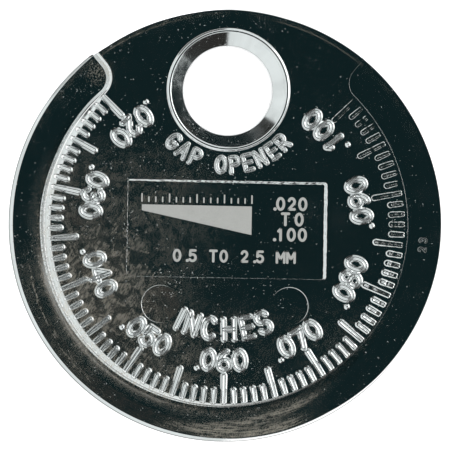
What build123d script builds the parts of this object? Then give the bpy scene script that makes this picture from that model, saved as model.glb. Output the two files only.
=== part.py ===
from build123d import *
from math import ceil, floor, radians, tan
import os

# Spark plug gap gauge: one round zinc die casting, plated all over.
# Its rim is a ramp on both faces, so it thickens along the scale from the thin mark to the thick mark.
# Angles are in degrees, counter-clockwise from +X, seen from the front (+Z).
# The gauge lies on the ribs of its back scale, which touch z = 0.

inch = 25.4

# Scale: thickness of the rim at its two ends, where they lie, and the steps between marks
gauge_thin = 0.020 * inch
gauge_thick = 0.100 * inch
scale_start = 135
scale_sweep = 270
front_step = 0.001 * inch
front_long_every = 5
back_step = 0.05
back_long_every = 2

# Coin
coin_radius = 20.5
flange_width = 3.3
face_proud = 0.05
edge_bevel = 0.15

# Wall of the hub, and the pockets past the two ends of the ramp
wall_draft = 15
end_margin = 5.2
corner_radius = 1.4

# Raised ribs of the two scales
rib_height = 0.2
rib_lean = 30
rib_inner_width = 0.66
rib_outer_width = 0.40
rib_nose = 0.2
short_rib = 1.9
long_rib = 3.3
rib_sink = 0.07
sink_start = 200

# Key ring hole with its raised bead
hole_radius = 4.13
land_thickness = 0.2
cone_run = 1.17
bead_width = 0.57
bead_flank = 0.17
bead_height = 0.15
ring_to_edge = 1.91

# Sunk panel in the middle of the front
panel_width = 18.9
panel_height = 9.2
panel_depth = 0.2
panel_lean = 35
panel_corner = 0.25
panel_x = 0.1
panel_y = -0.45

# Marks of the two ejector pins
pin_mark_radius = 1.8
pin_mark_depth = 0.05
pin_mark_spacing = 12.2
pin_mark_gap = 0.75

# How far cutting shapes run past what they cut, and raised shapes below their face
overrun = 1.5
root = 0.05

# Worked out from the sizes above
core_thickness = gauge_thick + 2 * face_proud
mid_z = rib_height + core_thickness / 2
face_z = mid_z + core_thickness / 2
z_thin = mid_z + gauge_thin / 2
z_thick = mid_z + gauge_thick / 2
mid = Plane.XY.offset(mid_z)
front = Plane.XY.offset(face_z)
scale_end = scale_start + scale_sweep
degrees_per_mm = scale_sweep / (gauge_thick - gauge_thin)
step_radius = coin_radius - flange_width
hub_radius = step_radius + core_thickness / 2 * tan(radians(wall_draft))
cut_inner = step_radius - overrun
cut_outer = coin_radius + overrun
cut_height = face_z + rib_height + overrun - mid_z
pocket_turn = end_margin + overrun
cone_radius = hole_radius + cone_run
bead_radius = cone_radius + bead_width
ring_y = coin_radius - ring_to_edge - bead_radius
ring_plane = Plane.XZ.offset(-ring_y)
ring_axis = Axis((0, ring_y, 0), (0, 0, 1))
pin_mark_y = panel_y - panel_height / 2 - pin_mark_gap - pin_mark_radius


def both_faces(part):
    """A part of the front, and its mirror image for the back"""
    return part, mirror(part, about=mid, mode=Mode.PRIVATE)


# The hub that the ramp leaves standing: a disc, and beside the ring hole a sector out past the rim.
# Its wall has draft, so it is widest at the middle of the coin.
with BuildPart() as hub:
    with BuildSketch(mid) as hub_outline:
        Circle(hub_radius)
        with BuildLine():
            sector_start = scale_end - 360 + end_margin
            sector_sweep = scale_start - end_margin - sector_start
            rim = CenterArc((0, 0), cut_outer, sector_start, sector_sweep)
            Line((0, 0), rim @ 0)
            Line((0, 0), rim @ 1)
        make_face()
        wall_corners = hub_outline.vertices().sort_by_distance((0, ring_y, mid_z))[:2]
        fillet(wall_corners, corner_radius)
    extrude(amount=cut_height, taper=wall_draft)


# The section that is cut from the rim: down to the flange, with a bevel on the flange's outer edge
def rim_section(floor_z):
    with BuildSketch(Plane.XZ) as section:
        Polygon(
            (cut_inner, floor_z),
            (coin_radius - edge_bevel, floor_z),
            (coin_radius + edge_bevel, floor_z - 2 * edge_bevel),
            (cut_outer, floor_z - 2 * edge_bevel),
            (cut_outer, floor_z + cut_height),
            (cut_inner, floor_z + cut_height),
            align=None,
        )
    return section.sketch


# The section swept along a helix makes the ramp, and turned level it makes a pocket past each end
with BuildPart() as ramp:
    with BuildLine() as ramp_path:
        rise = z_thick - z_thin
        Helix(rise * 360 / scale_sweep, rise, coin_radius, center=(0, 0, z_thin))
    sweep(sections=rim_section(z_thin), path=ramp_path.wire(), is_frenet=True)
with BuildPart() as thin_pocket:
    revolve(rim_section(z_thin), axis=Axis.Z, revolution_arc=-pocket_turn)
with BuildPart() as thick_pocket:
    revolve(rim_section(z_thick), axis=Axis.Z, revolution_arc=pocket_turn)
with BuildPart() as rim_cutter:
    with Locations(Location((0, 0, 0), (0, 0, scale_start))):
        add(ramp.part)
        add(thin_pocket.part)
    with Locations(Location((0, 0, 0), (0, 0, scale_end))):
        add(thick_pocket.part)
    add(hub.part, mode=Mode.SUBTRACT)


# A scale rib: a blunt nose at its inner end, narrower towards the step, leaning in on every side
def scale_rib(length):
    inner_x = step_radius - length
    with BuildPart() as rib:
        with BuildSketch(front.offset(-root)):
            Polygon(
                (inner_x, rib_nose - rib_inner_width / 2),
                (inner_x + rib_nose, -rib_inner_width / 2),
                (hub_radius, -rib_outer_width / 2),
                (hub_radius, rib_outer_width / 2),
                (inner_x + rib_nose, rib_inner_width / 2),
                (inner_x, rib_inner_width / 2 - rib_nose),
                align=None,
            )
        extrude(amount=root + rib_height, taper=rib_lean)
    return rib.part


# The marks of a scale: every whole number of steps in the gauge's range,
# as how many degrees along the scale it lies and whether its rib is a long one
def scale_marks(step, long_every):
    first = ceil(round(gauge_thin / step, 6))
    last = floor(round(gauge_thick / step, 6))
    return [
        ((number * step - gauge_thin) * degrees_per_mm, number % long_every == 0)
        for number in range(first, last + 1)
    ]


# Where a scale's long or short ribs go. Towards the thick end they sink a little into their face.
def rib_spots(marks, wanted, into_face):
    spots = []
    for along, is_long in marks:
        if is_long == wanted:
            sink = rib_sink * max(0, along - sink_start) / (scale_sweep - sink_start)
            spots.append(Location((0, 0, into_face * sink), (0, 0, scale_start + along)))
    return spots


# The key ring's bead, and the hole with its cone
with BuildPart() as ring_bead:
    with BuildSketch(ring_plane):
        Polygon(
            (cone_radius, face_z - root),
            (cone_radius, face_z),
            (cone_radius + bead_flank, face_z + bead_height),
            (bead_radius - bead_flank, face_z + bead_height),
            (bead_radius, face_z),
            (bead_radius, face_z - root),
            align=None,
        )
    revolve(axis=ring_axis)
with BuildPart() as ring_hole:
    with BuildSketch(ring_plane):
        Polygon(
            (0, mid_z),
            (hole_radius, mid_z),
            (hole_radius, mid_z + land_thickness / 2),
            (cone_radius, face_z),
            (cone_radius, face_z + overrun),
            (0, face_z + overrun),
            align=None,
        )
    revolve(axis=ring_axis)


with BuildPart() as gap_gauge:
    with BuildSketch(mid.offset(-core_thickness / 2)):
        Circle(coin_radius)
    extrude(amount=core_thickness)
    chamfer(gap_gauge.edges().filter_by(GeomType.CIRCLE), edge_bevel)

    # Front scale in thousandths of an inch, back scale in twentieths of a millimetre
    for length, is_long in ((short_rib, False), (long_rib, True)):
        front_rib, back_rib = both_faces(scale_rib(length))
        with Locations(*rib_spots(scale_marks(front_step, front_long_every), is_long, -1)):
            add(front_rib)
        with Locations(*rib_spots(scale_marks(back_step, back_long_every), is_long, 1)):
            add(back_rib)

    for cutter in both_faces(rim_cutter.part):
        add(cutter, mode=Mode.SUBTRACT)
    for bead in both_faces(ring_bead.part):
        add(bead)
    for hole in both_faces(ring_hole.part):
        add(hole, mode=Mode.SUBTRACT)

    # Sunk panel and ejector pin marks of the front
    with BuildSketch(front):
        with Locations((panel_x, panel_y)):
            RectangleRounded(panel_width, panel_height, panel_corner)
    extrude(amount=-panel_depth, taper=panel_lean, mode=Mode.SUBTRACT)
    with BuildSketch(front):
        with Locations((-pin_mark_spacing / 2, pin_mark_y), (pin_mark_spacing / 2, pin_mark_y)):
            Circle(pin_mark_radius)
    extrude(amount=-pin_mark_depth, mode=Mode.SUBTRACT)

os.makedirs("parts", exist_ok=True)
gap_gauge.part.label = "gap_gauge"
export_step(gap_gauge.part, "parts/gap_gauge.step")
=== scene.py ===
from math import acos, atan2, cos, degrees, pi, radians, sin, sqrt, tan

import bmesh
import bpy
import numpy as np
from bpy.props import FloatProperty, FloatVectorProperty, PointerProperty
from mathutils import Matrix, Vector, noise
from mathutils.geometry import delaunay_2d_cdt


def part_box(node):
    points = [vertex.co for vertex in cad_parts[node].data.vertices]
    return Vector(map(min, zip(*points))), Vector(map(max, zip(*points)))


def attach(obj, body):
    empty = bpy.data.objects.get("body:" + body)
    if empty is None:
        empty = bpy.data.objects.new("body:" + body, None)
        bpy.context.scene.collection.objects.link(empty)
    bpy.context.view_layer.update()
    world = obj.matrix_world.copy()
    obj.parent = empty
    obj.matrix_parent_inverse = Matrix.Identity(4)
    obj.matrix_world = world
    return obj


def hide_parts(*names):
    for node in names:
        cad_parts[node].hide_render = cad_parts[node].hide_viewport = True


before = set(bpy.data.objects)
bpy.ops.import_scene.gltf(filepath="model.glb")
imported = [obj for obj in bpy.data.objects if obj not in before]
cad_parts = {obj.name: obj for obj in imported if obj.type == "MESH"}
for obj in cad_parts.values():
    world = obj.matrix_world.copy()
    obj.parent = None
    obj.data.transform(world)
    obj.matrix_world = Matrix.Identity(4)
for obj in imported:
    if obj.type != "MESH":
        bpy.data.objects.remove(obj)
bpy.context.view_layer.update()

bl_info = {
    "name": "Spark plug gap gauge",
    "version": (1, 0, 0),
    "blender": (4, 5, 0),
    "location": "View3D > Sidebar > Gap gauge",
    "description": "Builds a plated coin gauge with a ramped rim, and the studio it lies in",
    "category": "Add Mesh",
}

MM = 0.001
PHOTO_PIXELS = 450

# From mark to mark of the two scales, in millimetres
FRONT_STEP = 0.0254
BACK_STEP = 0.05


# Sizes and looks that a user can change


def length(name, description, default):
    return FloatProperty(name=name, description=description, default=default * MM, unit="LENGTH", precision=6)


def turn(name, description, default):
    return FloatProperty(name=name, description=description, default=radians(default), subtype="ANGLE")


def colour(name, description, default):
    limits = {"min": 0, "max": 1}
    return FloatVectorProperty(name=name, description=description, default=default, subtype="COLOR", **limits)


class GaugeSizes(bpy.types.PropertyGroup):
    """Sizes of the casting and of what stands raised or sunk on it"""

    coin_radius: length("Coin radius", "Radius of the coin's outline", 20.5)
    flange_width: length("Flange width", "From the rim to the top of the step", 3.3)
    body_thickness: length("Body thickness", "Between the two flat faces", 2.64)
    thin_edge: length("Thin edge", "Thickness of the rim at the first mark", 0.508)
    thick_edge: length("Thick edge", "Thickness of the rim at the last mark", 2.54)
    step_round: length("Step rounding", "Radius along the top of the step, where it is largest", 1.05)
    foot_radius: length("Foot rounding", "Radius where the step meets the flange, where it is largest", 0.26)
    corner_radius: length("Corner radius", "Plan radius where the step turns out to the rim", 1.4)
    dish_depth: length("Dish depth", "How far the flange curls up at its worn stretch", 0.14)
    rim_bevel: length("Rim bevel", "Width of the bevel on the flange's rim, where it is largest", 0.43)
    rim_trim: length("Rim trim", "How far the trimmed rim beside the ring stands back", 0.29)
    short_rib: length("Short rib", "From a short rib's inner end to the top of the step", 1.9)
    long_rib: length("Long rib", "From a long rib's inner end to the top of the step", 3.3)
    rib_height: length("Rib height", "How far ribs and figures stand out of their face", 0.2)
    rib_width: length("Rib width", "Width of a rib at its inner end", 0.72)
    hole_radius: length("Hole radius", "Radius of the key ring hole", 4.13)
    hole_to_centre: length("Hole offset", "From the coin's centre to the hole's", 12.72)
    cone_radius: length("Cone radius", "Where the hole's cone meets its bead", 5.3)
    bead_width: length("Bead width", "Width of the raised bead round the hole", 0.57)
    bead_height: length("Bead height", "Height of the bead over the face", 0.15)
    panel_width: length("Panel width", "Width of the sunk panel", 18.9)
    panel_height: length("Panel height", "Height of the sunk panel", 9.2)
    panel_x: length("Panel X", "Place of the panel's centre across the coin", 0.1)
    panel_y: length("Panel Y", "Place of the panel's centre along the coin", -0.45)
    pin_mark_radius: length("Pin mark radius", "Radius of an ejector pin's mark", 1.8)
    pin_mark_spacing: length("Pin mark spacing", "Between the centres of the two pin marks", 12.2)
    pin_mark_gap: length("Pin mark gap", "From the panel's lower edge to the pin marks", 0.75)
    figure_height: length("Figure height", "Height of a figure's strokes, centre to centre", 1.7)
    figure_circle: length("Figure circle", "Radius of the circle through the middle of the figures", 12.85)
    scale_start: turn("Scale start", "Angle of the first mark, from +X seen from the front", 135)
    scale_sweep: turn("Scale sweep", "From the first mark to the last", 270)
    wall_draft: turn("Wall draft", "Lean of the step's wall", 15)
    end_margin: turn("End margin", "From an end mark to the wall beside it", 5.2)


class GaugeLooks(bpy.types.PropertyGroup):
    """Colours and finish of the plating, the marking and the studio"""

    plating: colour("Plating", "Colour of the chrome plate", (0.79, 0.8, 0.8))
    cloud: colour("Cloudy plate", "Colour of the plate where it is cloudy", (0.78, 0.7, 0.6))
    marking: colour("Marking", "Colour of the frosted marking in the panel", (0.45, 0.46, 0.44))
    floor: colour("Floor", "Colour of the studio floor", (0.9, 0.9, 0.9))
    tent: colour("Light tent", "Colour of the studio's low part in reflections", (0.93, 0.985, 0.98))
    gap: colour("Gap", "Colour between the two pale walls of the tent in reflections", (0.03, 0.03, 0.028))
    ceiling: colour("Ceiling", "Colour over the gauge in reflections", (0.0062, 0.0165, 0.018))
    warm_patch: colour("Warm patch", "Colour of the warm patch beside the ceiling", (0.06, 0.052, 0.044))
    polish: FloatProperty(name="Polish", description="Roughness of clean plate", default=0.07, min=0, max=1)


# Shader trees


class Socket:
    """A node's output. Arithmetic on it adds Math nodes."""

    def __init__(self, tree, output):
        self.tree = tree
        self.output = output

    def of(self, name):
        """Another output of the same node"""
        return Socket(self.tree, self.output.node.outputs[name])

    def maths(self, operation, *values):
        return self.tree.node("ShaderNodeMath", {"operation": operation}, dict(enumerate(values)))

    def __add__(self, other):
        return self.maths("ADD", self, other)

    def __sub__(self, other):
        return self.maths("SUBTRACT", self, other)

    def __rsub__(self, other):
        return self.maths("SUBTRACT", other, self)

    def __mul__(self, other):
        return self.maths("MULTIPLY", self, other)

    def __truediv__(self, other):
        return self.maths("DIVIDE", self, other)

    def __pow__(self, other):
        return self.maths("POWER", self, other)

    def __abs__(self):
        return self.maths("ABSOLUTE", self)

    __radd__ = __add__
    __rmul__ = __mul__

    def rise(self, low, high):
        """0 where this value is low, 1 where it is high, and smooth between"""
        values = {"Value": self, "From Min": low, "From Max": high}
        return self.tree.node("ShaderNodeMapRange", {"interpolation_type": "SMOOTHSTEP"}, values)


class Tree:
    """The node tree of a material or of the world"""

    def __init__(self, owner):
        owner.use_nodes = True
        self.nodes = owner.node_tree.nodes
        self.links = owner.node_tree.links
        self.nodes.clear()

    def node(self, kind, settings=None, values=None, output=0):
        """Adds a node, sets its settings, then gives its sockets their values or links"""
        made = self.nodes.new(kind)
        for key, value in (settings or {}).items():
            setattr(made, key, value)
        for key, value in (values or {}).items():
            if isinstance(value, Socket):
                self.links.new(value.output, made.inputs[key])
            else:
                made.inputs[key].default_value = value
        return Socket(self, made.outputs[output]) if made.outputs else made

    def mix(self, share, first, second):
        """A colour between two colours. Sockets 6 and 7 are the node's colours and output 2 its result."""
        ends = [end if isinstance(end, Socket) else (*end, 1) for end in (first, second)]
        return self.node("ShaderNodeMix", {"data_type": "RGBA"}, {0: share, 6: ends[0], 7: ends[1]}, 2)

    def speckle(self, place, size, detail=2.0, roughness=0.5, distortion=0.0):
        """Noise from 0 to 1 with features of about this size, in the units of the place"""
        shape = {"Scale": 1 / size, "Detail": detail, "Roughness": roughness, "Distortion": distortion}
        return self.node("ShaderNodeTexNoise", None, {"Vector": place, **shape})

    def metal(self, colour, roughness, bump, metallic=1.0):
        values = {"Base Color": colour, "Metallic": metallic, "Roughness": roughness, "Normal": bump}
        return self.node("ShaderNodeBsdfPrincipled", None, values)


def distance(x, y, to_x, to_y):
    """How far a place is from a point, in plan"""
    across, up = x - to_x, y - to_y
    return (across * across + up * up) ** 0.5


class PlatePlaces:
    """Where a point of the plate is, in metres and radians, and the noises that its marks share"""

    def __init__(self, tree):
        self.place = tree.node("ShaderNodeTexCoord", None, None, "Object")
        parts = tree.node("ShaderNodeSeparateXYZ", None, {0: self.place})
        x, y, z = (parts.of(axis) for axis in "XYZ")
        self.x, self.y, self.z = x, y, z
        self.radius = (x * x + y * y) ** 0.5
        self.around = y.maths("ARCTAN2", y, x)
        self.flange = self.radius.rise(0.0173, 0.0178)
        self.lower_left = x * -0.75 - y
        # Flow lines run round the flange: fine across it and long round it
        lines = {"X": self.radius * 9000, "Y": self.around * 14, "Z": z * 300}
        self.flow = tree.speckle(tree.node("ShaderNodeCombineXYZ", None, lines), 1.0, 2.0, 0.6)
        # Strokes of a cloth run slanted over the whole plate
        slanted = {"X": (x * 0.5 + y * 0.87) * 1300, "Y": (y * 0.5 - x * 0.87) * 4500}
        brushed = tree.speckle(tree.node("ShaderNodeCombineXYZ", None, slanted), 1.0, 3.0, 0.65, 0.6)
        self.strokes = brushed.rise(0.38, 0.62)
        self.dimple = tree.speckle(self.place, 0.0009)
        self.peel = tree.speckle(self.place, 0.0003, 2.0, 0.6)
        self.dust = tree.speckle(self.place, 0.00012, 1.0)
        self.haze = tree.speckle(self.place, 0.0024, 5.0, 0.7, 0.4)
        self.fine_haze = self.haze.rise(0.45, 0.75)
        # Specks stand in loose crowds
        self.crowd = tree.speckle(self.place, 0.0035, 2.0, 0.6).rise(0.48, 0.72)
        specks = tree.speckle(self.place, 0.00017, 0.0) + self.crowd * 0.05 - x.rise(-0.002, 0.01) * 0.022
        self.specks = specks.rise(0.822, 0.865)


def plate_relief(tree, at):
    """Waves, dimples and orange peel, flow lines on the flange, specks, and rough tops on some ribs"""
    # The ribs are rough on top: at the left below the middle, and most where they are low, at the thick end
    rib_tops = at.z.rise(0.002841, 0.002852) * at.radius.rise(0.0134, 0.0139) * (1 - at.flange)
    thick_end = at.x.rise(0.004, 0.014) * at.y.rise(-0.009, 0.0)
    left = at.x.rise(-0.01, -0.013) * at.y.rise(0.004, -0.001)
    grit = tree.speckle(at.place, 0.00016, 2.0, 0.6) * rib_tops * (thick_end * 2.1 + left * 1.6 + 0.2)
    height = tree.speckle(at.place, 0.0032, 1.0) * 1.6 + at.dimple * 0.3 + at.peel * 0.08
    height = height + at.flow * at.flange * 0.3 + at.specks * (at.flange * 2.5 + 2.2) + grit
    return tree.node("ShaderNodeBump", None, {"Strength": 1.0, "Distance": 0.000011, "Height": height})


def plate_colour(tree, at, looks):
    """The clean plate's colour, a little duller in the haze, with painted shade along the very edge of the
    rim at the lower left
    """

    # Mixes towards a darker plate colour: for haze and grain, and for the painted shade on the rim's edge
    def darken_for_haze_and_shade(share, colour, part):
        return tree.mix(share, colour, [part * c for c in looks.plating])

    colour = darken_for_haze_and_shade(at.fine_haze * 0.25, looks.plating, 0.82)
    # Painted shade: the very edge of the rim is darkened at the lower left
    edge = at.radius.rise(0.02036, 0.02043) * at.lower_left.rise(-0.004, 0.006)
    colour = darken_for_haze_and_shade(edge * 0.75, colour, 0.4)
    # The step's wall has a grey grain there
    wall = at.radius.rise(0.017, 0.0172) * at.radius.rise(0.0181, 0.0176) * at.lower_left.rise(-0.004, 0.006)
    grain = at.dust.rise(0.4, 0.6) * 0.45 + at.peel.rise(0.42, 0.6) * 0.35
    return darken_for_haze_and_shade(wall * grain, colour, 0.45)


def face_blotches(tree, at):
    """Mottled blotches: strong at the face's lower left, weak over its left half and on the flange there"""
    strong = distance(at.x, at.y, -0.0115, -0.006).rise(0.0065, 0.002) * 0.42
    below = at.y.rise(-0.007, -0.012) * at.x.rise(0.001, -0.006) * 0.16 + at.y.rise(-0.006, -0.01) * 0.07
    left = at.x.rise(0.002, -0.008) * at.y.rise(0.009, 0.003) * (at.y.rise(-0.006, -0.002) * 0.09 + 0.17)
    on_flange = at.around.rise(-3.1, -2.85) * at.around.rise(-2.15, -2.4) * at.flange * 0.15
    mottle = tree.speckle(at.place, 0.0012, 4.0, 0.7, 0.8).rise(0.41, 0.58) * 0.85 + 0.15
    return mottle * (at.strokes * 0.75 + 0.3) * ((strong + below + left) * (1 - at.flange) + on_flange)


def flange_streaks(at):
    """Two long streaks on the flange below: one slants inwards to the right, one follows the rim"""
    slant = abs(at.radius - 0.0196 + (at.around + 1.83) * 0.0021)
    rimward = at.radius.rise(0.0189, 0.0197) * at.around.rise(-1.75, -1.6) * at.around.rise(-1.1, -1.3)
    grain = at.flow.rise(0.45, 0.56) * 0.55 + at.strokes * 0.25 + at.dust.rise(0.45, 0.6) * 0.3
    below = at.around.rise(-1.95, -1.7) * at.around.rise(-0.95, -1.2) * at.radius.rise(0.0176, 0.0184)
    return (slant.rise(0.0007, 0.0001) * 0.75 + rimward * 0.9 + 0.07) * grain * below


def flange_scratches(at):
    """Thin scratches on the flange at the lower left, which run outwards to the rim as they go round"""
    scratch = abs(at.radius - 0.01905 - (at.around + 2.84) * 0.00099 + (at.haze - 0.5) * 0.0005)
    thin = scratch.rise(0.0001, 0.00003) * at.strokes * 0.45
    wide = scratch.rise(0.0005, 0.0001) * at.flow.rise(0.5, 0.58) * 0.3
    return (thin + wide) * at.around.rise(-2.98, -2.8) * at.around.rise(-2.0, -2.4) * at.haze.rise(0.42, 0.56)


def dusty_hollows(at):
    """Dust where the flange curls up to the step, and in the pocket before the first mark"""
    curl = at.radius.rise(0.0189, 0.0176) * at.flange * at.lower_left.rise(0.004, 0.0135)
    curl = curl * (at.dust.rise(0.4, 0.6) * 0.8 + at.peel.rise(0.42, 0.62) * 0.7) * 0.19
    pocket = distance(at.x, at.y, -0.0122, 0.0141).rise(0.0017, 0.0003) * at.dust.rise(0.52, 0.6) * 0.7
    return curl + pocket


def rim_haze(at):
    """Haze on the rim beside the ring, with a thin line inside it"""
    share = at.dimple.rise(0.3, 0.7) * (at.x.rise(0.004, -0.008) * 0.11 + 0.07)
    trim = abs(at.radius - 0.01982).rise(0.0001, 0.00002)
    beside = abs(at.x).rise(0.003, 0.0065) * at.y.rise(0.0148, 0.0165)
    return at.radius.rise(0.0194, 0.0203) * at.y.rise(0.006, 0.012) * share + trim * beside * 0.22


def plating_finish(looks):
    """Bright chrome over a die casting: a near mirror with haze and pits, and cloudy where it is worn"""
    material = bpy.data.materials.new("chrome_plating")
    tree = Tree(material)
    at = PlatePlaces(tree)
    bump = plate_relief(tree, at)
    roughness = at.fine_haze * 0.09 + at.specks * 0.1 + looks.polish
    clean = tree.metal(plate_colour(tree, at, looks), roughness, bump)
    cloudy = tree.metal((*looks.cloud, 1), 0.42, bump)
    share = face_blotches(tree, at) + flange_streaks(at) + flange_scratches(at)
    share = share + dusty_hollows(at) + rim_haze(at) + at.crowd * at.peel.rise(0.5, 0.7) * 0.03
    # What stands above the face is clean, and so is the rim's bevel
    share = share * at.z.rise(0.00289, 0.00286) * at.radius.rise(0.0202, 0.02)
    shader = tree.node("ShaderNodeMixShader", None, {0: share, 1: clean, 2: cloudy})
    tree.node("ShaderNodeOutputMaterial", None, {"Surface": shader})
    return material


def marking_finish(looks):
    """Metal frosted to a pale grey, a little uneven"""
    material = bpy.data.materials.new("frosted_marking")
    tree = Tree(material)
    place = tree.node("ShaderNodeTexCoord", None, None, "Object")
    grain = tree.speckle(place, 0.00009, 3.0, 0.7)
    share = grain.rise(0.3, 0.7) * 0.5 + tree.speckle(place, 0.0015).rise(0.4, 0.8) * 0.3
    pale = tree.mix(share, looks.marking, [0.78 * c for c in looks.marking])
    bump = tree.node("ShaderNodeBump", None, {"Strength": 0.5, "Distance": 0.000004, "Height": grain})
    shader = tree.metal(pale, grain * 0.2 + 0.5, bump, 0.15)
    tree.node("ShaderNodeOutputMaterial", None, {"Surface": shader})
    return material


def finish_named(name, make):
    """The finish if another piece has made it already, or else a new one"""
    looks = bpy.context.scene.gauge_looks
    return bpy.data.materials.get(name) or make(looks)


# Surfaces


class Skin:
    """Points and faces of closed surfaces in millimetres. Heights are measured from the mid plane."""

    def __init__(self, side=1, mirrored=False):
        self.points = []
        self.faces = []
        self.side = side
        self.mirrored = mirrored

    def add(self, points):
        """Adds a row of points, and gives their numbers"""
        first = len(self.points)
        turned = -1 if self.mirrored else 1
        self.points.extend((turned * float(x), float(y), self.side * float(z)) for x, y, z in points)
        return list(range(first, len(self.points)))

    def join(self, row, following, closed=True):
        """Lays quads between two rows of as many points"""
        count = len(row)
        for i in range(count if closed else count - 1):
            k = (i + 1) % count
            self.faces.append((row[i], row[k], following[k], following[i]))

    def fill(self, outline, holes=(), loose=()):
        """Lays triangles in a closed row of points, around holes and through loose points, as seen in plan"""
        loops = [outline, *holes]
        numbers = [number for loop in loops for number in loop] + list(loose)
        plan = [Vector(self.points[number][:2]) for number in numbers]
        edges = []
        for loop in loops:
            first = len(edges)
            edges += [(first + i, first + (i + 1) % len(loop)) for i in range(len(loop))]
        _, _, triangles, origins, _, _ = delaunay_2d_cdt(plan, edges, [], 1, 1e-7)
        if any(not origin for origin in origins):
            raise RuntimeError("outlines cross in plan")
        places = np.array([plan[origin[0]] for origin in origins])
        middles = places[np.array(triangles)].mean(axis=1)
        inside_of = [inside(middles, np.array([self.points[n][:2] for n in loop])) for loop in loops]
        keep = inside_of[0] & ~np.any(inside_of[1:], axis=0) if holes else inside_of[0]
        for triangle, kept in zip(triangles, keep):
            if kept:
                self.faces.append(tuple(numbers[origins[corner][0]] for corner in triangle))

    def piece(self, name, material, replaced=()):
        """Makes the Blender object, smooth-shaded with its flats kept flat, riding on the gauge"""
        mesh = bpy.data.meshes.new(name)
        mid = Vector((0, 0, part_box("gap_gauge")[1].z / 2))
        mesh.from_pydata([Vector(p) * MM + mid for p in self.points], [], self.faces)
        shape = bmesh.new()
        shape.from_mesh(mesh)
        bmesh.ops.recalc_face_normals(shape, faces=shape.faces)
        if any(not edge.is_manifold for edge in shape.edges):
            raise RuntimeError(f"{name} isn't closed")
        shape.to_mesh(mesh)
        shape.free()
        smooth_by_area(mesh)
        mesh.materials.append(material)
        made = bpy.data.objects.new(name, mesh)
        bpy.context.scene.collection.objects.link(made)
        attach(made, "root")
        if replaced:
            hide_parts(*replaced)
        return made


def smooth_by_area(mesh):
    """Smooth shading in which large faces count for more, so that flats stay flat"""
    mesh.shade_smooth()
    mesh.calc_loop_triangles()
    corners = np.array([t.vertices for t in mesh.loop_triangles])
    places = np.array([v.co for v in mesh.vertices]) / MM
    a, b, c = (places[corners[:, k]] for k in range(3))
    facing = np.cross(b - a, c - a)
    facing *= np.linalg.norm(facing, axis=1, keepdims=True)
    normals = np.zeros_like(places)
    for k in range(3):
        np.add.at(normals, corners[:, k], facing)
    normals /= np.maximum(np.linalg.norm(normals, axis=1, keepdims=True), 1e-30)
    mesh.normals_split_custom_set_from_vertices(normals.tolist())


def inside(points, loop):
    """Which points lie inside a closed loop, by counting crossings"""
    crossings = np.zeros(len(points), int)
    for (x0, y0), (x1, y1) in zip(loop, np.roll(loop, -1, axis=0)):
        if y0 != y1:
            spans = (points[:, 1] > y0) != (points[:, 1] > y1)
            crossings += spans & (points[:, 0] < (x1 - x0) * (points[:, 1] - y0) / (y1 - y0) + x0)
    return crossings % 2 == 1


def rise(value, low, high):
    """0 at low, 1 at high, and smooth between"""
    t = min(max((value - low) / (high - low), 0.0), 1.0)
    return t * t * (3 - 2 * t)


def blend(value, *stops):
    """Runs straight from stop to stop, each a place and its amount, and stays level past the two ends"""
    places, amounts = zip(*stops)
    return float(np.interp(value, places, amounts))


def ring(centre, radius, height, count):
    turns = np.linspace(0, 2 * pi, count, endpoint=False)
    return [(centre[0] + radius * cos(a), centre[1] + radius * sin(a), height) for a in turns]


# The gauge's shape


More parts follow.
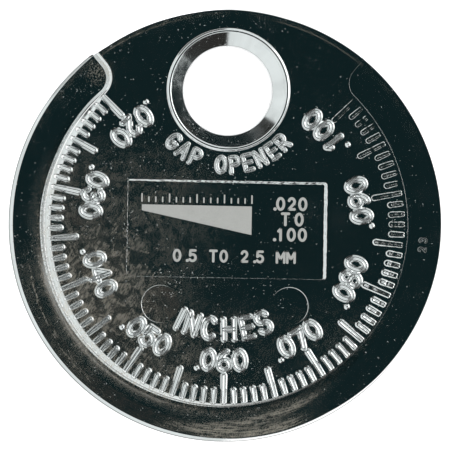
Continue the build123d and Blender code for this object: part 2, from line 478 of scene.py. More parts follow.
class Gauge:
    """The gauge's sizes in millimetres and degrees, and the heights that follow from them"""

    # Out from the step's nominal place: where the flange's curl starts, its width, and the step's foot
    curl_start = 1.55
    curl_width = 1.2
    foot_out = 0.4

    def __init__(self):
        sizes = bpy.context.scene.gauge_sizes
        for name, kind in GaugeSizes.__annotations__.items():
            value = getattr(sizes, name)
            setattr(self, name, degrees(value) if kind.keywords.get("subtype") == "ANGLE" else value / MM)
        self.face = self.body_thickness / 2
        self.step_radius = self.coin_radius - self.flange_width
        self.ring_centre = (0.0, self.hole_to_centre)
        self.panel_centre = Vector((self.panel_x, self.panel_y))
        self.figure_size = self.figure_height / SIGN_HEIGHT

    def along(self, x, y):
        """Degrees along the scale from its first mark.
        Past the last mark they go on, and before the first they are negative."""
        before = (360 - self.scale_sweep) / 2
        return (degrees(atan2(y, x)) - self.scale_start + before) % 360 - before

    def along_at(self, thickness):
        """Degrees along the scale to where the rim has a thickness"""
        return self.scale_sweep * (thickness - self.thin_edge) / (self.thick_edge - self.thin_edge)

    def edge_height(self, along):
        """Height of the flange at the rim, which is half the rim's thickness"""
        share = min(max(along / self.scale_sweep, 0), 1)
        return (self.thin_edge + (self.thick_edge - self.thin_edge) * share) / 2

    def dish(self, along):
        """How far the flange curls up beside the step"""
        return self.dish_depth * rise(along, 35, 65) * rise(-along, -150, -112)

    def floor(self, x, y):
        """Height of the flange: the ramp, and a curl towards the step where it is worn"""
        along = self.along(x, y)
        up = max(0.0, (self.step_radius + self.curl_start - sqrt(x * x + y * y)) / self.curl_width)
        return self.edge_height(along) + self.dish(along) * up * up

    def rim(self, along):
        """Radius of the outline. Beside the ring the casting was trimmed a little smaller."""
        return self.coin_radius - self.rim_trim * rise(-along, 5.4, 7.5) * rise(along, -50, -34)

    def rim_start(self, along):
        """Where the rim's bevel starts: wide at the thin end, narrow at the thick end and beside the ring"""
        share = blend(
            along if along < 275 else along - 360,
            *((-85, 0.27), (-75, 0.38), (-60, 0.55), (-45, 0.45), (-30, 0.7), (-10, 0.75), (-6, 0.5)),
            *((0, 0.65), (20, 0.85), (50, 0.95), (60, 0.9), (90, 0.85), (120, 0.85), (150, 0.68)),
            *((165, 0.82), (180, 0.52), (195, 0.46), (215, 0.27), (240, 0.15), (275, 0.27)),
        )
        return self.rim(along) - self.rim_bevel * share

    def top_round(self, along):
        """Radius along the top of the step, large at the thin end and small at the thick end"""
        wide = 0.35 * rise(-along, -115, -60) + 0.65 * rise(-along, -170, -85)
        return 0.005 + (self.step_round - 0.005) * wide * (0.3 + 0.7 * rise(along, -2, 6))

    def step_shift(self, along):
        """How far the worn step stands out past its nominal place"""
        stops = ((-5, -0.2), (25, -0.16), (40, 0), (85, 0), (110, -0.08), (150, -0.17), (165, -0.17))
        return blend(along, *stops, (195, -0.11), (225, 0))

    def foot_round(self, along):
        """Radius where the step meets the flange: largest where the flange curls up to it"""
        return 0.006 + (self.foot_radius - 0.006) * rise(along, 15, 60) * rise(-along, -150, -95)

    def wall(self, drop, lean, top, foot, shift=0.0):
        """The step's section: places out from its top edge, heights below the face and slopes.
        It rounds over, falls, and rounds out to the flange, which leans up to it."""
        steepest = radians(90 - self.wall_draft - 7 * min(1, top))
        slack = 0.01
        level = (top + foot * cos(lean) - (drop - slack)) / (top + foot)
        steep = min(steepest, acos(max(-1, min(1, level))))
        fall = drop - top * (1 - cos(steep)) - foot * (cos(lean) - cos(steep))
        start = shift - top * (tan(steepest / 2) * steep / steepest + 0.08)
        out, down, slope = [], [], []
        for a in np.linspace(0, steep, 7):
            out.append(start + top * sin(a))
            down.append(top * (1 - cos(a)))
            slope.append(a)
        knee_out, knee_down = out[-1] + fall / tan(steep), down[-1] + fall
        for a in np.linspace(steep, lean, 8):
            out.append(knee_out + foot * (sin(steep) - sin(a)))
            down.append(knee_down + foot * (cos(a) - cos(steep)))
            slope.append(a)
        return np.array(out), np.array(down), np.array(slope)

    def wall_at(self, along):
        """The step's section at a mark"""
        foot_radius = self.step_radius + self.foot_out
        angle = radians(self.scale_start + along)
        foot = foot_radius * cos(angle), foot_radius * sin(angle)
        up = (self.curl_start - self.foot_out) / self.curl_width
        lean = atan2(2 * self.dish(along) * up, self.curl_width)
        drop, shift = self.face - self.floor(*foot), self.step_shift(along)
        return self.wall(drop, lean, self.top_round(along), self.foot_round(along), shift)


def wall_rows(skin, gauge):
    """Rows of points down the step's wall, from the rim at the thin end round to the rim at the thick end"""
    spread = gauge.face * tan(radians(gauge.wall_draft))
    corner = gauge.corner_radius + spread
    ends = []
    for way, along in ((1, -gauge.end_margin), (-1, gauge.scale_sweep + gauge.end_margin)):
        angle = radians(gauge.scale_start + along)
        outward = Vector((cos(angle), sin(angle)))
        flangeward = way * Vector((-sin(angle), cos(angle)))
        out, down, slope = gauge.wall_at(along)
        rim = gauge.rim_start(along)
        reach = gauge.step_radius + corner
        tangent = sqrt(reach**2 - (corner - spread) ** 2)
        centre = outward * tangent + flangeward * (corner - spread)
        rows = []
        for share in np.linspace(0, 1, 9)[:-1]:
            row = []
            for s in out:
                start = sqrt(rim**2 - (s - spread) ** 2)
                row.append(outward * (start + (tangent - start) * share) + flangeward * (s - spread))
            rows.append((row, down))
        toward_wall, toward_hub = -flangeward, -centre.normalized()
        swing = toward_wall.angle(toward_hub)
        sign = 1 if toward_wall.cross(toward_hub) > 0 else -1
        for share in np.linspace(0, 1, 15):
            across = Matrix.Rotation(sign * swing * share, 2) @ toward_wall
            rows.append(([centre + across * (corner - s) for s in out], down))
        hub_angle = gauge.along(*(toward_hub * -1))
        normals = [(*(flangeward * sin(a)), cos(a)) for a in slope]
        ends.append((rows, hub_angle, normals))
    thin, thick = ends
    rows = list(thin[0])
    for along in np.linspace(thin[1], thick[1], 330)[1:-1]:
        angle = radians(gauge.scale_start + along)
        out, down, _ = gauge.wall_at(along)
        way = Vector((cos(angle), sin(angle)))
        rows.append(([way * (gauge.step_radius + s) for s in out], down))
    rows += reversed(thick[0])
    made = [skin.add([(p.x, p.y, gauge.face - d) for p, d in zip(row, down)]) for row, down in rows]
    for row, following in zip(made, made[1:]):
        skin.join(row, following, closed=False)
    return made, thin[2], thick[2]


def rim_arc(gauge, first, last, height):
    """Points just inside the rim between two places along the scale, with their upward normals"""
    points, normals = [], []
    steps = max(2, int(abs(last - first) / 0.9))
    for along in np.linspace(first, last, steps + 1)[1:-1]:
        angle = radians(gauge.scale_start + along)
        radius = gauge.rim_start(along)
        x, y = radius * cos(angle), radius * sin(angle)
        points.append((x, y, height(x, y)))
        ahead = height(radius * cos(angle + 0.01), radius * sin(angle + 0.01))
        behind = height(radius * cos(angle - 0.01), radius * sin(angle - 0.01))
        lean = -(ahead - behind) / (0.02 * radius)
        normals.append(Vector((-sin(angle) * lean, cos(angle) * lean, 1)).normalized())
    return points, normals


# Section of the rim's bevel: shares of its width outwards and downwards
RIM_SECTION = (
    (0.07, 0.012), (0.16, 0.055), (0.5, 0.235), (0.82, 0.405), (0.93, 0.48), (0.985, 0.54), (1, 0.59)
)


def half_gauge(skin, gauge, sunk):
    """One face of the coin, with its step, flange and rounded rim. Gives the last row of the rim."""
    rows, thin_normals, thick_normals = wall_rows(skin, gauge)
    tops, feet = [row[0] for row in rows], [row[-1] for row in rows]

    def along_of(number):
        return gauge.along(*skin.points[number][:2])

    flange_points, flange_normals = rim_arc(gauge, along_of(feet[0]), along_of(feet[-1]), gauge.floor)
    flange = skin.add(flange_points)
    land_ends = along_of(tops[-1]), along_of(tops[0]) + 360
    land_points, land_normals = rim_arc(gauge, *land_ends, lambda x, y: gauge.face)
    land = skin.add(land_points)

    loose = []
    clear = 4.4
    for along in np.linspace(along_of(feet[0]) + clear, along_of(feet[-1]) - clear, 300):
        angle = radians(gauge.scale_start + along)
        inner = gauge.step_radius + gauge.wall_at(along)[0][-1]
        outer = gauge.rim_start(along)
        for share in (0.06, 0.13, 0.21, 0.3, 0.4, 0.52, 0.76):
            radius = inner + (outer - inner) * share
            x, y = radius * cos(angle), radius * sin(angle)
            loose.append((x, y, gauge.floor(x, y)))
    skin.fill(feet + flange[::-1], loose=skin.add(loose))
    skin.fill(tops + land, holes=sunk)

    edge = land + rows[0] + flange + rows[-1][::-1]
    normals = land_normals + thin_normals + flange_normals + thick_normals[::-1]
    starts = [Vector((x, y, abs(z))) for x, y, z in (skin.points[number] for number in edge)]
    for out, down in RIM_SECTION:
        points = []
        for start, normal in zip(starts, normals):
            outward = Vector((start.x, start.y, 0)).normalized()
            along = gauge.along(start.x, start.y)
            size = gauge.rim(along) - start.to_2d().length
            steep = 1 + 1.1 * (rise(along, 115, 145) + rise(-along, 5, 7))
            points.append(start + size * (out * outward - down * steep * Vector(normal)))
        following = skin.add(points)
        skin.join(edge, following)
        edge = following
    return edge


def ring_section(gauge):
    """From the face outside the bead over its crown, down the cone and to the middle of the hole"""
    middle = gauge.cone_radius + gauge.bead_width / 2
    crown = 0.25
    centre_height = gauge.face + gauge.bead_height - crown
    foot = 0.1
    meet = acos((gauge.face + foot - centre_height) / (crown + foot))
    foot_radius = middle + (crown + foot) * sin(meet)
    section = []
    for a in np.linspace(0, meet, 5):
        section.append((foot_radius - foot * sin(a), gauge.face + foot * (1 - cos(a))))
    slope = radians(44.6)
    for a in np.linspace(meet, -slope, 17)[1:]:
        section.append((middle + crown * sin(a), centre_height + crown * cos(a)))
    radius, height = section[-1]
    steps = 8
    run = (radius - gauge.hole_radius) / steps
    for step in range(steps):
        height -= run * tan(slope - radians(3.2) * (step + 0.5) / steps)
        radius -= run
        section.append((radius, height))
    return section


# Section of the panel's wall: shares of its width inwards and of its depth downwards
PANEL_WALL = ((0, 0), (0.16, 0.05), (0.36, 0.22), (0.64, 0.78), (0.84, 0.95), (1, 1))


def sunk_panel(skin, gauge):
    """The panel: a floor a little out of level, with ragged walls.
    They slope above and at the right, and are steep below and at the left."""
    right_wall, top_wall, steep_wall = 0.32, 0.23, 0.02
    rag_height = 0.045
    rows = []
    for inward, down in PANEL_WALL:
        corner = 0.25 - 0.12 * inward
        left = steep_wall * inward - gauge.panel_width / 2 + corner
        right = gauge.panel_width / 2 - right_wall * inward - corner
        bottom = steep_wall * inward - gauge.panel_height / 2 + corner
        top = gauge.panel_height / 2 - top_wall * inward - corner
        plan = []
        for x, y, first in ((right, top, 0), (left, top, 90), (left, bottom, 180), (right, bottom, 270)):
            for a in np.linspace(first, first + 90, 7):
                way = Vector((cos(radians(a)), sin(radians(a))))
                plan.append((Vector((x, y)) + corner * way, way))
        row = []
        for number, ((p, way), (q, next_way)) in enumerate(zip(plan, plan[1:] + plan[:1])):
            straight = gauge.panel_height if number // 7 % 2 else gauge.panel_width
            steps = int(straight / 0.12) if number % 7 == 6 else 1
            for share in np.arange(steps) / steps:
                place, outward = p.lerp(q, share), way.lerp(next_way, share)
                rag = noise.noise(Vector((place.x * 2.6, place.y * 2.6, 3.0)))
                rag += 0.8 * noise.noise(Vector((place.x * 7, place.y * 7, 8.0 + down)))
                x, y = place + gauge.panel_centre - outward * rag_height * rag
                row.append((x, y, gauge.face - panel_depth(place) * down))
        rows.append(skin.add(row))
    for row, following in zip(rows, rows[1:]):
        skin.join(row, following)
    skin.fill(rows[-1])
    return rows[0]


def panel_depth(p):
    """Depth of the panel's floor at a place measured from the panel's centre"""
    return 0.118 + 0.0088 * p.x + 0.0055 * p.y


def pin_mark(skin, gauge, centre, toward):
    """The shallow mark of an ejector pin that stood a little out of square"""
    radius, depth, lean = gauge.pin_mark_radius, 0.022, 0.02
    rows = []
    for out, down in ((1.03, 0), (1.0, 0.12), (0.985, 0.5), (0.97, 0.88), (0.94, 1)):
        row = []
        for x, y, z in ring(centre, radius * out, gauge.face, 72):
            tip = ((x - centre[0]) * cos(toward) + (y - centre[1]) * sin(toward)) / radius
            row.append((x, y, z - down * (depth + lean * tip)))
        rows.append(skin.add(row))
    for row, following in zip(rows, rows[1:]):
        skin.join(row, following)
    skin.fill(rows[-1])
    return rows[0]


class GAUGE_OT_casting(bpy.types.Operator):
    """Make the casting: faces, ramped flange, step, rounded rim, ring hole, sunk panel and pin marks"""

    bl_idname = "gauge.casting"
    bl_label = "Casting"

    def execute(self, context):
        gauge = Gauge()
        skin = Skin()
        section = ring_section(gauge)
        section += [(radius, -height) for radius, height in section[::-1]]
        rings = [skin.add(ring(gauge.ring_centre, radius, height, 144)) for radius, height in section]
        for row, following in zip(rings, rings[1:]):
            skin.join(row, following)
        pin_x = gauge.pin_mark_spacing / 2
        pin_y = gauge.panel_y - gauge.panel_height / 2 - gauge.pin_mark_gap - gauge.pin_mark_radius
        sunk = [
            rings[0],
            sunk_panel(skin, gauge),
            pin_mark(skin, gauge, (-pin_x, pin_y), radians(170)),
            pin_mark(skin, gauge, (pin_x, pin_y), radians(50)),
        ]
        front_edge = half_gauge(skin, gauge, sunk)
        skin.side = -1
        back_edge = half_gauge(skin, gauge, [rings[-1]])
        skin.join(front_edge, back_edge)
        plating = finish_named("chrome_plating", plating_finish)
        skin.piece("gauge_casting", plating, ("gap_gauge",))
        return {"FINISHED"}


# Raised strokes: ribs, figures and words

# Half of a stroke's section: places across it as shares of half its width, heights as shares of its own
RAISED = (
    (0.0, 0.7), (0.05, 0.72), (0.27, 0.96), (0.34, 0.992), (0.41, 1.0), (0.49, 1.0), (0.55, 0.985),
    (0.62, 0.89), (0.87, 0.25), (0.94, 0.07), (0.98, 0.01), (1.0, -0.02),
)
DOME = (
    (0.0, 1.0), (0.2, 0.97), (0.4, 0.86), (0.58, 0.68),
    (0.74, 0.42), (0.87, 0.16), (0.95, 0.03), (1.0, -0.02),
)
FLAT = ((0.0, 1.0), (0.5, 1.0), (0.96, 1.0), (1.0, 0.4))


def stroke(skin, path, base, height, half_width, section=RAISED, sink=0.03, end_cap=1.0):
    """A raised stroke along an open path, with round ends. base, height and half_width go along the path."""
    path = np.array(path, float)
    count = len(path)
    base, height, half_width = (np.broadcast_to(v, count) for v in (base, height, half_width))
    along = np.gradient(path, axis=0)
    along /= np.linalg.norm(along, axis=1, keepdims=True)
    left = np.stack([-along[:, 1], along[:, 0]], axis=1)
    ways = [(i, left[i]) for i in range(count)]
    cap = np.linspace(0, pi, 9)[1:-1]
    ways += [(count - 1, left[-1] * cos(a) + along[-1] * sin(a) * end_cap) for a in cap]
    ways += [(i, -left[i]) for i in reversed(range(count))]
    ways += [(0, -left[0] * cos(a) - along[0] * sin(a)) for a in cap]

    def loop(share, raised, extra=0.0):
        points = []
        for i, way in ways:
            x, y = path[i] + way * half_width[i] * share
            points.append((x, y, base[i] + height[i] * raised - extra))
        return skin.add(points)

    def close(outer, spine):
        """Joins a loop to the line along the middle of the stroke"""
        total = len(outer)
        spots = [spine[i] for i, _ in ways]
        for i in range(total):
            k = (i + 1) % total
            corners = (outer[i], outer[k], spots[k], spots[i])
            skin.faces.append(corners if spots[i] != spots[k] else corners[:3])

    loops = [loop(share, raised) for share, raised in section[:0:-1]]
    for outer, inner in zip(loops, loops[1:]):
        skin.join(outer, inner)
    close(loops[-1], skin.add([(*p, b + h * section[0][1]) for p, b, h in zip(path, base, height)]))
    below = loop(section[-1][0], section[-1][1], sink)
    skin.join(loops[0], below)
    close(below, skin.add([(*p, b - sink) for p, b in zip(path, base)]))


def hoop(skin, path, base, height, half_width, section=RAISED, sink=0.03):
    """A raised stroke along a closed path"""
    path = np.array(path, float)
    along = np.roll(path, -1, axis=0) - np.roll(path, 1, axis=0)
    along /= np.linalg.norm(along, axis=1, keepdims=True)
    left = np.stack([-along[:, 1], along[:, 0]], axis=1)

    def offset_row(share, level):
        return skin.add([(*(p + way * half_width * share), level) for p, way in zip(path, left)])

    sides = [(-share, raised) for share, raised in section[:0:-1]] + list(section)
    rows = [offset_row(share, base + height * raised) for share, raised in sides]
    rows += [offset_row(end, base - sink) for end in (1, -1)]
    for row, following in zip(rows, rows[1:] + rows[:1]):
        skin.join(row, following)


def line(*points):
    """Points along straight runs, close enough together to bend onto an arc"""
    path = []
    for (x0, y0), (x1, y1) in zip(points, points[1:]):
        steps = max(2, int(sqrt((x1 - x0) ** 2 + (y1 - y0) ** 2) / 0.22))
        path += [(x0 + (x1 - x0) * k / steps, y0 + (y1 - y0) * k / steps) for k in range(steps)]
    return path + [points[-1]]


def arc(x, y, width, height, first, last):
    steps = max(6, int(abs(last - first) / 14))
    turns = [radians(a) for a in np.linspace(first, last, steps + 1)]
    return [(x + width * cos(a), y + height * sin(a)) for a in turns]


def oval(x, y, width, height):
    """A closed stroke, which ends in None"""
    return arc(x, y, width, height, 0, 360)[:-1] + [None]


def zigzag(*points):
    """Straight strokes from point to point"""
    return [line(start, end) for start, end in zip(points, points[1:])]


# Strokes of each sign, in a box one unit wide and SIGN_HEIGHT high about its middle
SIGN_HEIGHT = 1.7
BOWL = line((-0.42, 0.85), (0.04, 0.85)) + arc(0.04, 0.42, 0.44, 0.43, 80, -80)
BOWL += line((0.04, -0.01), (-0.42, -0.01))
SIGNS = {
    "0": [oval(0, 0, 0.5, 0.85)],
    "1": [line((0.06, -0.85), (0.06, 0.85)), line((-0.26, 0.5), (0.06, 0.85))],
    "2": [
        arc(0, 0.38, 0.42, 0.47, 165, -35) + line((0.28, 0.0), (-0.42, -0.8)),
        line((-0.42, -0.8), (0.42, -0.8)),
    ],
    "3": [arc(-0.03, 0.43, 0.44, 0.42, 155, -88), arc(-0.03, -0.4, 0.48, 0.45, 88, -155)],
    "4": [line((0.2, 0.85), (-0.5, -0.32), (0.54, -0.32)), line((0.2, 0.85), (0.2, -0.85))],
    "5": [*zigzag((0.42, 0.85), (-0.36, 0.85), (-0.42, 0.08)), arc(-0.02, -0.32, 0.5, 0.53, 140, -150)],
    "6": [oval(0, -0.38, 0.47, 0.47), arc(0.28, -0.38, 0.75, 1.22, 92, 180)],
    "7": zigzag((-0.5, 0.85), (0.5, 0.85), (-0.12, -0.85)),
    "8": [oval(0, 0.43, 0.42, 0.42), oval(0, -0.41, 0.48, 0.44)],
    "9": [oval(0, 0.38, 0.47, 0.47), arc(-0.28, 0.38, 0.75, 1.12, -80, 0)],
    "A": [*zigzag((-0.5, -0.85), (0, 0.85), (0.5, -0.85)), line((-0.3, -0.25), (0.3, -0.25))],
    "C": [arc(0.05, 0, 0.52, 0.85, 48, 312)],
    "E": [line((-0.4, -0.85), (-0.4, 0.85))] + [line((-0.4, y), (0.42, y)) for y in (-0.85, 0, 0.85)],
    "G": [arc(0.05, 0, 0.52, 0.85, 48, 340), line((0.12, -0.12), (0.54, -0.12))],
    "H": [line((x, -0.85), (x, 0.85)) for x in (-0.45, 0.45)] + [line((-0.45, 0), (0.45, 0))],
    "I": [line((0, -0.85), (0, 0.85))],
    "M": zigzag((-0.6, -0.85), (-0.6, 0.85), (0, -0.3), (0.6, 0.85), (0.6, -0.85)),
    "N": zigzag((-0.45, -0.85), (-0.45, 0.85), (0.45, -0.85), (0.45, 0.85)),
    "O": [oval(0, 0, 0.5, 0.85)],
    "P": [line((-0.42, -0.85), (-0.42, 0.85)), BOWL],
    "R": [line((-0.42, -0.85), (-0.42, 0.85)), BOWL, line((0.0, 0.0), (0.48, -0.85))],
    "T": [line((-0.5, 0.85), (0.5, 0.85)), line((0, 0.85), (0, -0.85))],
    "S": [arc(0, 0.42, 0.46, 0.43, 25, 262) + arc(0, -0.42, 0.48, 0.43, 82, -155)],
}


def sign_on_arc(skin, sign, centre, radius, angle, base, size, height, half_width, **section):
    """Raises one sign on a circle, its top towards the circle's centre. size multiplies its strokes."""
    away = np.array((cos(radians(angle)), sin(radians(angle))))
    right = np.array((-away[1], away[0]))
    middle = np.array(centre) + radius * away

    def placed(points):
        return [middle + size * (x * right - y * away) for x, y in points]

    if sign == ".":
        stroke(skin, placed([(-0.02, -0.6), (0.02, -0.6)]), base, height * 0.65, half_width * 0.95, DOME)
        return
    for path in SIGNS[sign]:
        if path[-1] is None:
            hoop(skin, placed(path[:-1]), base, height, half_width, **section)
        else:
            stroke(skin, placed(path), base, height, half_width, **section)


def rib(skin, gauge, along, length_in, height, faint=0.0):
    """One mark of a scale: round at its inner end, narrower outwards, ending at the step.
    A faint rib is worn unevenly, and most at its outer end."""
    angle = radians(gauge.scale_start + along)
    way = np.array((cos(angle), sin(angle)))
    inner = gauge.step_radius - length_in + gauge.rib_width / 2
    out, down, _ = gauge.wall_at(along)
    roundness = gauge.top_round(along) / gauge.step_round
    worn = rise(along, 28, 45) * rise(-along, -110, -90)
    step = gauge.step_radius + gauge.step_shift(along)
    level_end = step - 0.14 - 0.2 * faint - 0.4 * roundness
    end = step + 0.06 - 0.1 * faint - 0.06 * roundness - 0.16 * worn
    level_radii = np.linspace(inner, level_end, 7 + int(9 * faint))[:-1]
    radii = np.concatenate([level_radii, np.linspace(level_end, end, 9)])
    surface = gauge.face - np.interp(radii - gauge.step_radius, out, down)
    fade = np.array([rise(r, level_end, end) for r in radii])
    root = 0.012
    outer_share = 1 - 0.5 * min(1, 2.8 * faint)
    stands = height * (1 - fade) * np.interp(radii, [inner, level_end], [1, outer_share])
    stands *= [1 - faint * max(0, 0.3 + noise.noise(Vector((r * 2.8, along * 0.7, 5.0)))) for r in radii]
    half_widths = [gauge.rib_width / 2, 0.31 - 0.06 * worn, 0.25 - 0.18 * worn]
    half_width = np.interp(radii, [inner, level_end, end], half_widths)
    base = surface - root - 0.06 * fade
    stroke(skin, radii[:, None] * way, base, stands + root, half_width, sink=0.06, end_cap=0.1)


def rib_height(gauge, along):
    """Ribs lose height towards the thick end"""
    stops = ((150, 1), (165, 0.95), (180, 0.88), (195, 0.64), (210, 0.5), (225, 0.2), (240, 0.12))
    return gauge.rib_height * blend(along, *stops, (255, 0.09), (270, 0.07))


class GAUGE_OT_front_scale(bpy.types.Operator):
    """Make the front scale: one rib for each thousandth of an inch, every fifth one longer"""

    bl_idname = "gauge.front_scale"
    bl_label = "Front scale"

    def execute(self, context):
        gauge = Gauge()
        skin = Skin()
        for number in range(20, 101):
            along = gauge.along_at(number * FRONT_STEP)
            length_in = gauge.short_rib if number % 5 else gauge.long_rib
            rib(skin, gauge, along, length_in, rib_height(gauge, along), rise(along, 160, 215))
        skin.piece("front_scale_ribs", finish_named("chrome_plating", plating_finish))
        return {"FINISHED"}


class GAUGE_OT_back_scale(bpy.types.Operator):
    """Make the back scale: one rib for each twentieth of a millimetre, every second one longer"""

    bl_idname = "gauge.back_scale"
    bl_label = "Back scale"

    def execute(self, context):
        gauge = Gauge()
        skin = Skin(side=-1)
        for number in range(11, 51):
            length_in = gauge.short_rib if number % 2 else gauge.long_rib
            rib(skin, gauge, gauge.along_at(number * BACK_STEP), length_in, gauge.rib_height)
        skin.piece("back_scale_ribs", finish_named("chrome_plating", plating_finish))
        return {"FINISHED"}


def figure(skin, gauge, sign, angle, half_width):
    """One figure on the figure circle, or a decimal point a little outside it"""
    radius = gauge.figure_circle
    if sign == ".":
        radius, half_width = radius + 0.35, 0.29
    size, height = gauge.figure_size, gauge.rib_height
    sign_on_arc(skin, sign, (0, 0), radius, angle, gauge.face, size, height, half_width)


class GAUGE_OT_figures(bpy.types.Operator):
    """Make the figures of both scales"""

    bl_idname = "gauge.figures"
    bl_label = "Figures"

    def execute(self, context):
        gauge = Gauge()
        plating = finish_named("chrome_plating", plating_finish)
        front = Skin()
        for number in range(20, 101, 10):
            middle = gauge.scale_start + gauge.along_at(number * FRONT_STEP)
            for sign, step in zip(f".{number:03d}", (-1.62, -1, 0, 1)):
                figure(front, gauge, sign, middle + 6.6 * step, 0.34)
        # A small number on the flange at the right
        radius = 18.75
        small = {"size": 0.4, "height": 0.013, "half_width": 0.09, "section": DOME}
        for sign, angle in (("3", -3.5), ("2", -6.2)):
            surface = gauge.floor(radius * cos(radians(angle)), radius * sin(radians(angle)))
            sign_on_arc(front, sign, (0, 0), radius, angle, surface, **small)
        front.piece("front_figures", plating)
        back = Skin(side=-1, mirrored=True)
        for tenths in range(6, 25, 2):
            middle = 180 - gauge.scale_start - gauge.along_at(tenths * 0.1)
            for sign, step in zip(f"{tenths / 10:.1f}", (-1, 0, 1)):
                figure(back, gauge, sign, middle + 4.4 * step, 0.31)
        back.piece("back_figures", plating)
        return {"FINISHED"}


class GAUGE_OT_words(bpy.types.Operator):
    """Make the plain words for the units, and for the use of the ring's cone"""

    bl_idname = "gauge.words"
    bl_label = "Words"

    def execute(self, context):
        gauge = Gauge()
        plating = finish_named("chrome_plating", plating_finish)
        front = Skin()
        unit = {"centre": (0, 0), "size": 1.1, "height": gauge.rib_height, "base": gauge.face}
        for sign, angle in zip("INCHES", (-25, -18, -8.5, 2.4, 12.3, 21.7)):
            sign_on_arc(front, sign, angle=270 + angle, radius=9.9, half_width=0.33, **unit)
        use = {"centre": gauge.ring_centre, "size": 0.83, "height": 0.17, "base": gauge.face}
        for number, sign in enumerate("GAP OPENER"):
            if sign != " ":
                angle = 270 - 46 + number * 10.3
                sign_on_arc(front, sign, angle=angle, radius=7.1, half_width=0.24, **use)
        front.piece("front_words", plating)
        back = Skin(side=-1, mirrored=True)
        for sign, angle in zip("MM", (-9, 9)):
            sign_on_arc(back, sign, angle=270 + angle, radius=6.5, half_width=0.3, **unit)
        back.piece("back_words", plating)
        return {"FINISHED"}


class GAUGE_OT_panel_marking(bpy.types.Operator):
    """Make the panel's frosted marking: a wedge for the ramp, with the gauge's range in figures"""

    bl_idname = "gauge.panel_marking"
    bl_label = "Panel marking"

    def execute(self, context):
        gauge = Gauge()
        skin = Skin()
        thickness, sink = 0.006, 0.02

        def surface(x, y):
            return gauge.face - panel_depth(Vector((x, y)) - gauge.panel_centre)

        def mark(path, half_width):
            base = [surface(x, y) for x, y in path]
            stroke(skin, path, base, thickness, half_width, FLAT, sink=sink)

        def write(text, x, y, size, half_width, pitch):
            for sign in text:
                if sign == ".":
                    mark([(x - 0.01, y - 0.8 * size), (x + 0.01, y - 0.8 * size)], half_width * 1.2)
                    x += pitch * 0.5
                    continue
                for path in SIGNS.get(sign, ()):
                    points = [(x + size * p[0], y + size * p[1]) for p in path if p is not None]
                    closed = path[-1] is None
                    mark(points + points[:1] if closed else points, half_width)
                x += pitch

        # The wedge thickens to the right, under a row of marks, every fourth one longer
        left, right, top = -8.0, 2.4, 1.75
        wedge = [(left, top), (right, top), (right, -0.95), (left, 1.2)]
        rows = []
        for lift in (thickness, -sink):
            rows.append(skin.add([(x, y, surface(x, y) + lift) for x, y in wedge]))
            skin.fill(rows[-1])
        skin.join(*rows)
        for number in range(17):
            x = left + (right - left) * number / 16
            mark(line((x, 2.05), (x, 2.45 if number % 4 else 2.75)), 0.07)
        write(".020", 4.6, 2.05, size=0.62, half_width=0.13, pitch=1.05)
        write("TO", 5.6, 0.6, size=0.62, half_width=0.13, pitch=1.3)
        write(".100", 4.6, -0.85, size=0.62, half_width=0.13, pitch=1.05)
        write("0.5 TO 2.5 MM", -4.6, -3.0, size=0.58, half_width=0.12, pitch=0.98)
        skin.piece("panel_marking", finish_named("frosted_marking", marking_finish))
        return {"FINISHED"}


# Studio


def studio_world(looks):
    """A light tent seen in reflections: pale low down, dark overhead, with a warm patch beside the zenith.
    Matt surfaces are lit evenly by it, and the camera sees white."""
    world = bpy.data.worlds.new("studio")
    world.cycles.sampling_method = "NONE"
    tree = Tree(world)
    way = tree.node("ShaderNodeTexCoord", None, None, "Generated")
    parts = tree.node("ShaderNodeSeparateXYZ", None, {0: way})
    x, y, up = (parts.of(axis) for axis in "XYZ")
    cloth = tree.speckle(way, 1 / 55, 3.0, 0.6)
    broad = tree.speckle(way, 1 / 3)
    edge = x + y * 0.5 + (cloth - 0.5) * 0.05
    patch = edge.rise(0.055, 0.035) * x.rise(0.008, 0.02) * y.rise(0.055, 0.03) * y.rise(-0.004, 0.003)
    warm = tree.mix(patch, looks.ceiling, looks.warm_patch)
    # Overhead cloth turns pale soon to the left and late to the right
    height = up + x * 0.16
    grey = tree.mix(height.rise(0.965, 0.9), warm, (0.13, 0.12, 0.105))
    tent = tree.mix(broad.rise(0.35, 0.65), looks.tent, [0.88 * c for c in looks.tent])
    # Low down the tent has two pale walls, to the left and to the right, with dark gaps between them
    level = (x * x + y * y) ** 0.5
    across = (x * cos(radians(29.5)) + y * sin(radians(29.5))) / level + (cloth - 0.5) * 0.08
    gap = across.rise(-0.45, -0.36) * across.rise(0.56, 0.46)
    gap = gap * up.rise(0.62, 0.4) * (x / level).rise(-0.797, -0.741)
    tent = tree.mix(gap, tent, looks.gap)
    seen = tree.mix(height.rise(0.93, 0.85), grey, tent)
    rays = tree.node("ShaderNodeLightPath")
    seen = tree.mix(rays.of("Is Diffuse Ray") + rays.of("Is Camera Ray"), seen, (1, 1, 1))
    background = tree.node("ShaderNodeBackground", None, {"Color": seen, "Strength": 1.0})
    tree.node("ShaderNodeOutputWorld", None, {"Surface": background})
    return world


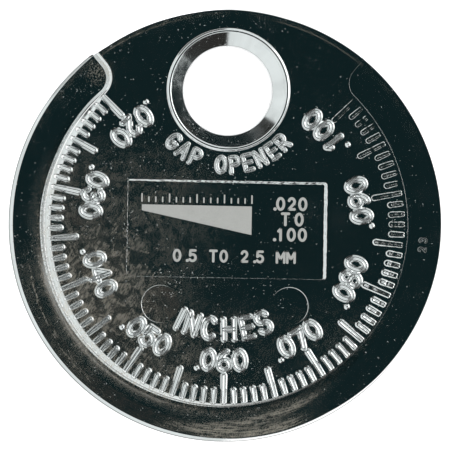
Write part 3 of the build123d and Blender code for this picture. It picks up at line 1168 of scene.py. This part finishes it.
def floor_finish(looks):
    """Pale paper that keeps the shadow. The camera, and metal that mirrors it, see it as white."""
    material = bpy.data.materials.new("studio_floor")
    tree = Tree(material)
    place = tree.node("ShaderNodeTexCoord", None, None, "Object")
    grain = tree.speckle(place, 0.004, 3.0)
    paper = tree.mix(grain * 0.15, looks.floor, [0.97 * c for c in looks.floor])
    values = {"Base Color": paper, "Roughness": 0.9, "Specular IOR Level": 0.1}
    matt = tree.node("ShaderNodeBsdfPrincipled", None, values)
    rays = tree.node("ShaderNodeLightPath")
    mirrored = rays.of("Is Glossy Ray") + rays.of("Is Transmission Ray")
    in_mirrors = tree.mix(mirrored, (0, 0, 0), (0.45, 0.45, 0.45))
    seen = tree.mix(rays.of("Is Camera Ray"), in_mirrors, (0.65, 0.65, 0.65))
    glow = tree.node("ShaderNodeEmission", None, {"Color": seen, "Strength": 1.0})
    both = tree.node("ShaderNodeAddShader", None, {0: matt, 1: glow})
    tree.node("ShaderNodeOutputMaterial", None, {"Surface": both})
    return material


def way_to(azimuth, elevation):
    """Unit vector from the gauge towards a place in the studio, from angles in degrees"""
    a, e = radians(azimuth), radians(elevation)
    return Vector((cos(a) * cos(e), sin(a) * cos(e), sin(e)))


def lay_floor(scene):
    """A square of paper a hair under the gauge"""
    half, lowered = 3.0, 0.00002
    corners = [(-half, -half, 0), (half, -half, 0), (half, half, 0), (-half, half, 0)]
    mesh = bpy.data.meshes.new("studio_floor")
    mesh.from_pydata(corners, [], [(0, 1, 2, 3)])
    mesh.materials.append(floor_finish(scene.gauge_looks))
    floor = bpy.data.objects.new("studio_floor", mesh)
    floor.location.z = -lowered
    scene.collection.objects.link(floor)


def hang_softbox(scene):
    """The one lamp, a metre off"""
    lamp = bpy.data.lights.new("softbox", "AREA")
    lamp.size = 0.8
    lamp.energy = 2.4
    softbox = bpy.data.objects.new("softbox", lamp)
    softbox.location = way_to(20, 28)
    softbox.rotation_euler = softbox.location.to_track_quat("Z", "Y").to_euler()
    scene.collection.objects.link(softbox)


def set_camera(scene):
    """Almost straight above the coin, with the coin as large in the frame as in the photo"""
    metres_off, roll, coin_radius_pixels = 0.4, radians(1.1), 217
    aim = Vector((-0.00008, -0.00003, 0.0022))
    way = way_to(208.6, 85.5)
    lens = bpy.data.cameras.new("camera")
    lens.sensor_width = 36
    view_width = scene.gauge_sizes.coin_radius * PHOTO_PIXELS / coin_radius_pixels
    lens.lens = lens.sensor_width * metres_off / view_width
    lens.clip_start = 0.01
    side = Vector((cos(roll), sin(roll), 0))
    side = (side - way * side.dot(way)).normalized()
    turned = Matrix((side, way.cross(side), way)).transposed().to_4x4()
    camera = bpy.data.objects.new("camera", lens)
    camera.matrix_world = Matrix.Translation(aim + way * metres_off) @ turned
    scene.collection.objects.link(camera)
    scene.camera = camera


class GAUGE_OT_studio(bpy.types.Operator):
    """Make the floor, the light tent, the lamp and the camera"""

    bl_idname = "gauge.studio"
    bl_label = "Studio"

    def execute(self, context):
        scene = context.scene
        scene.world = studio_world(scene.gauge_looks)
        scene.view_settings.view_transform = "Standard"
        lay_floor(scene)
        hang_softbox(scene)
        set_camera(scene)
        return {"FINISHED"}


OPERATORS = (
    GAUGE_OT_casting,
    GAUGE_OT_front_scale,
    GAUGE_OT_back_scale,
    GAUGE_OT_figures,
    GAUGE_OT_words,
    GAUGE_OT_panel_marking,
    GAUGE_OT_studio,
)


class GAUGE_PT_panel(bpy.types.Panel):
    """Sizes, looks and pieces of the gap gauge"""

    bl_label = "Gap gauge"
    bl_idname = "GAUGE_PT_panel"
    bl_space_type = "VIEW_3D"
    bl_region_type = "UI"
    bl_category = "Gap gauge"

    def draw(self, context):
        layout = self.layout
        for group in (context.scene.gauge_sizes, context.scene.gauge_looks):
            box = layout.box()
            for name in group.__annotations__:
                box.prop(group, name)
        for operator in OPERATORS:
            layout.operator(operator.bl_idname)


CLASSES = (GaugeSizes, GaugeLooks, *OPERATORS, GAUGE_PT_panel)


def register():
    for made in CLASSES:
        bpy.utils.register_class(made)
    bpy.types.Scene.gauge_sizes = PointerProperty(type=GaugeSizes)
    bpy.types.Scene.gauge_looks = PointerProperty(type=GaugeLooks)


def unregister():
    del bpy.types.Scene.gauge_looks
    del bpy.types.Scene.gauge_sizes
    for made in reversed(CLASSES):
        bpy.utils.unregister_class(made)


def main():
    register()
    bpy.ops.gauge.casting()
    bpy.ops.gauge.front_scale()
    bpy.ops.gauge.back_scale()
    bpy.ops.gauge.figures()
    bpy.ops.gauge.words()
    bpy.ops.gauge.panel_marking()
    bpy.ops.gauge.studio()


if __name__ == "__main__":
    main()
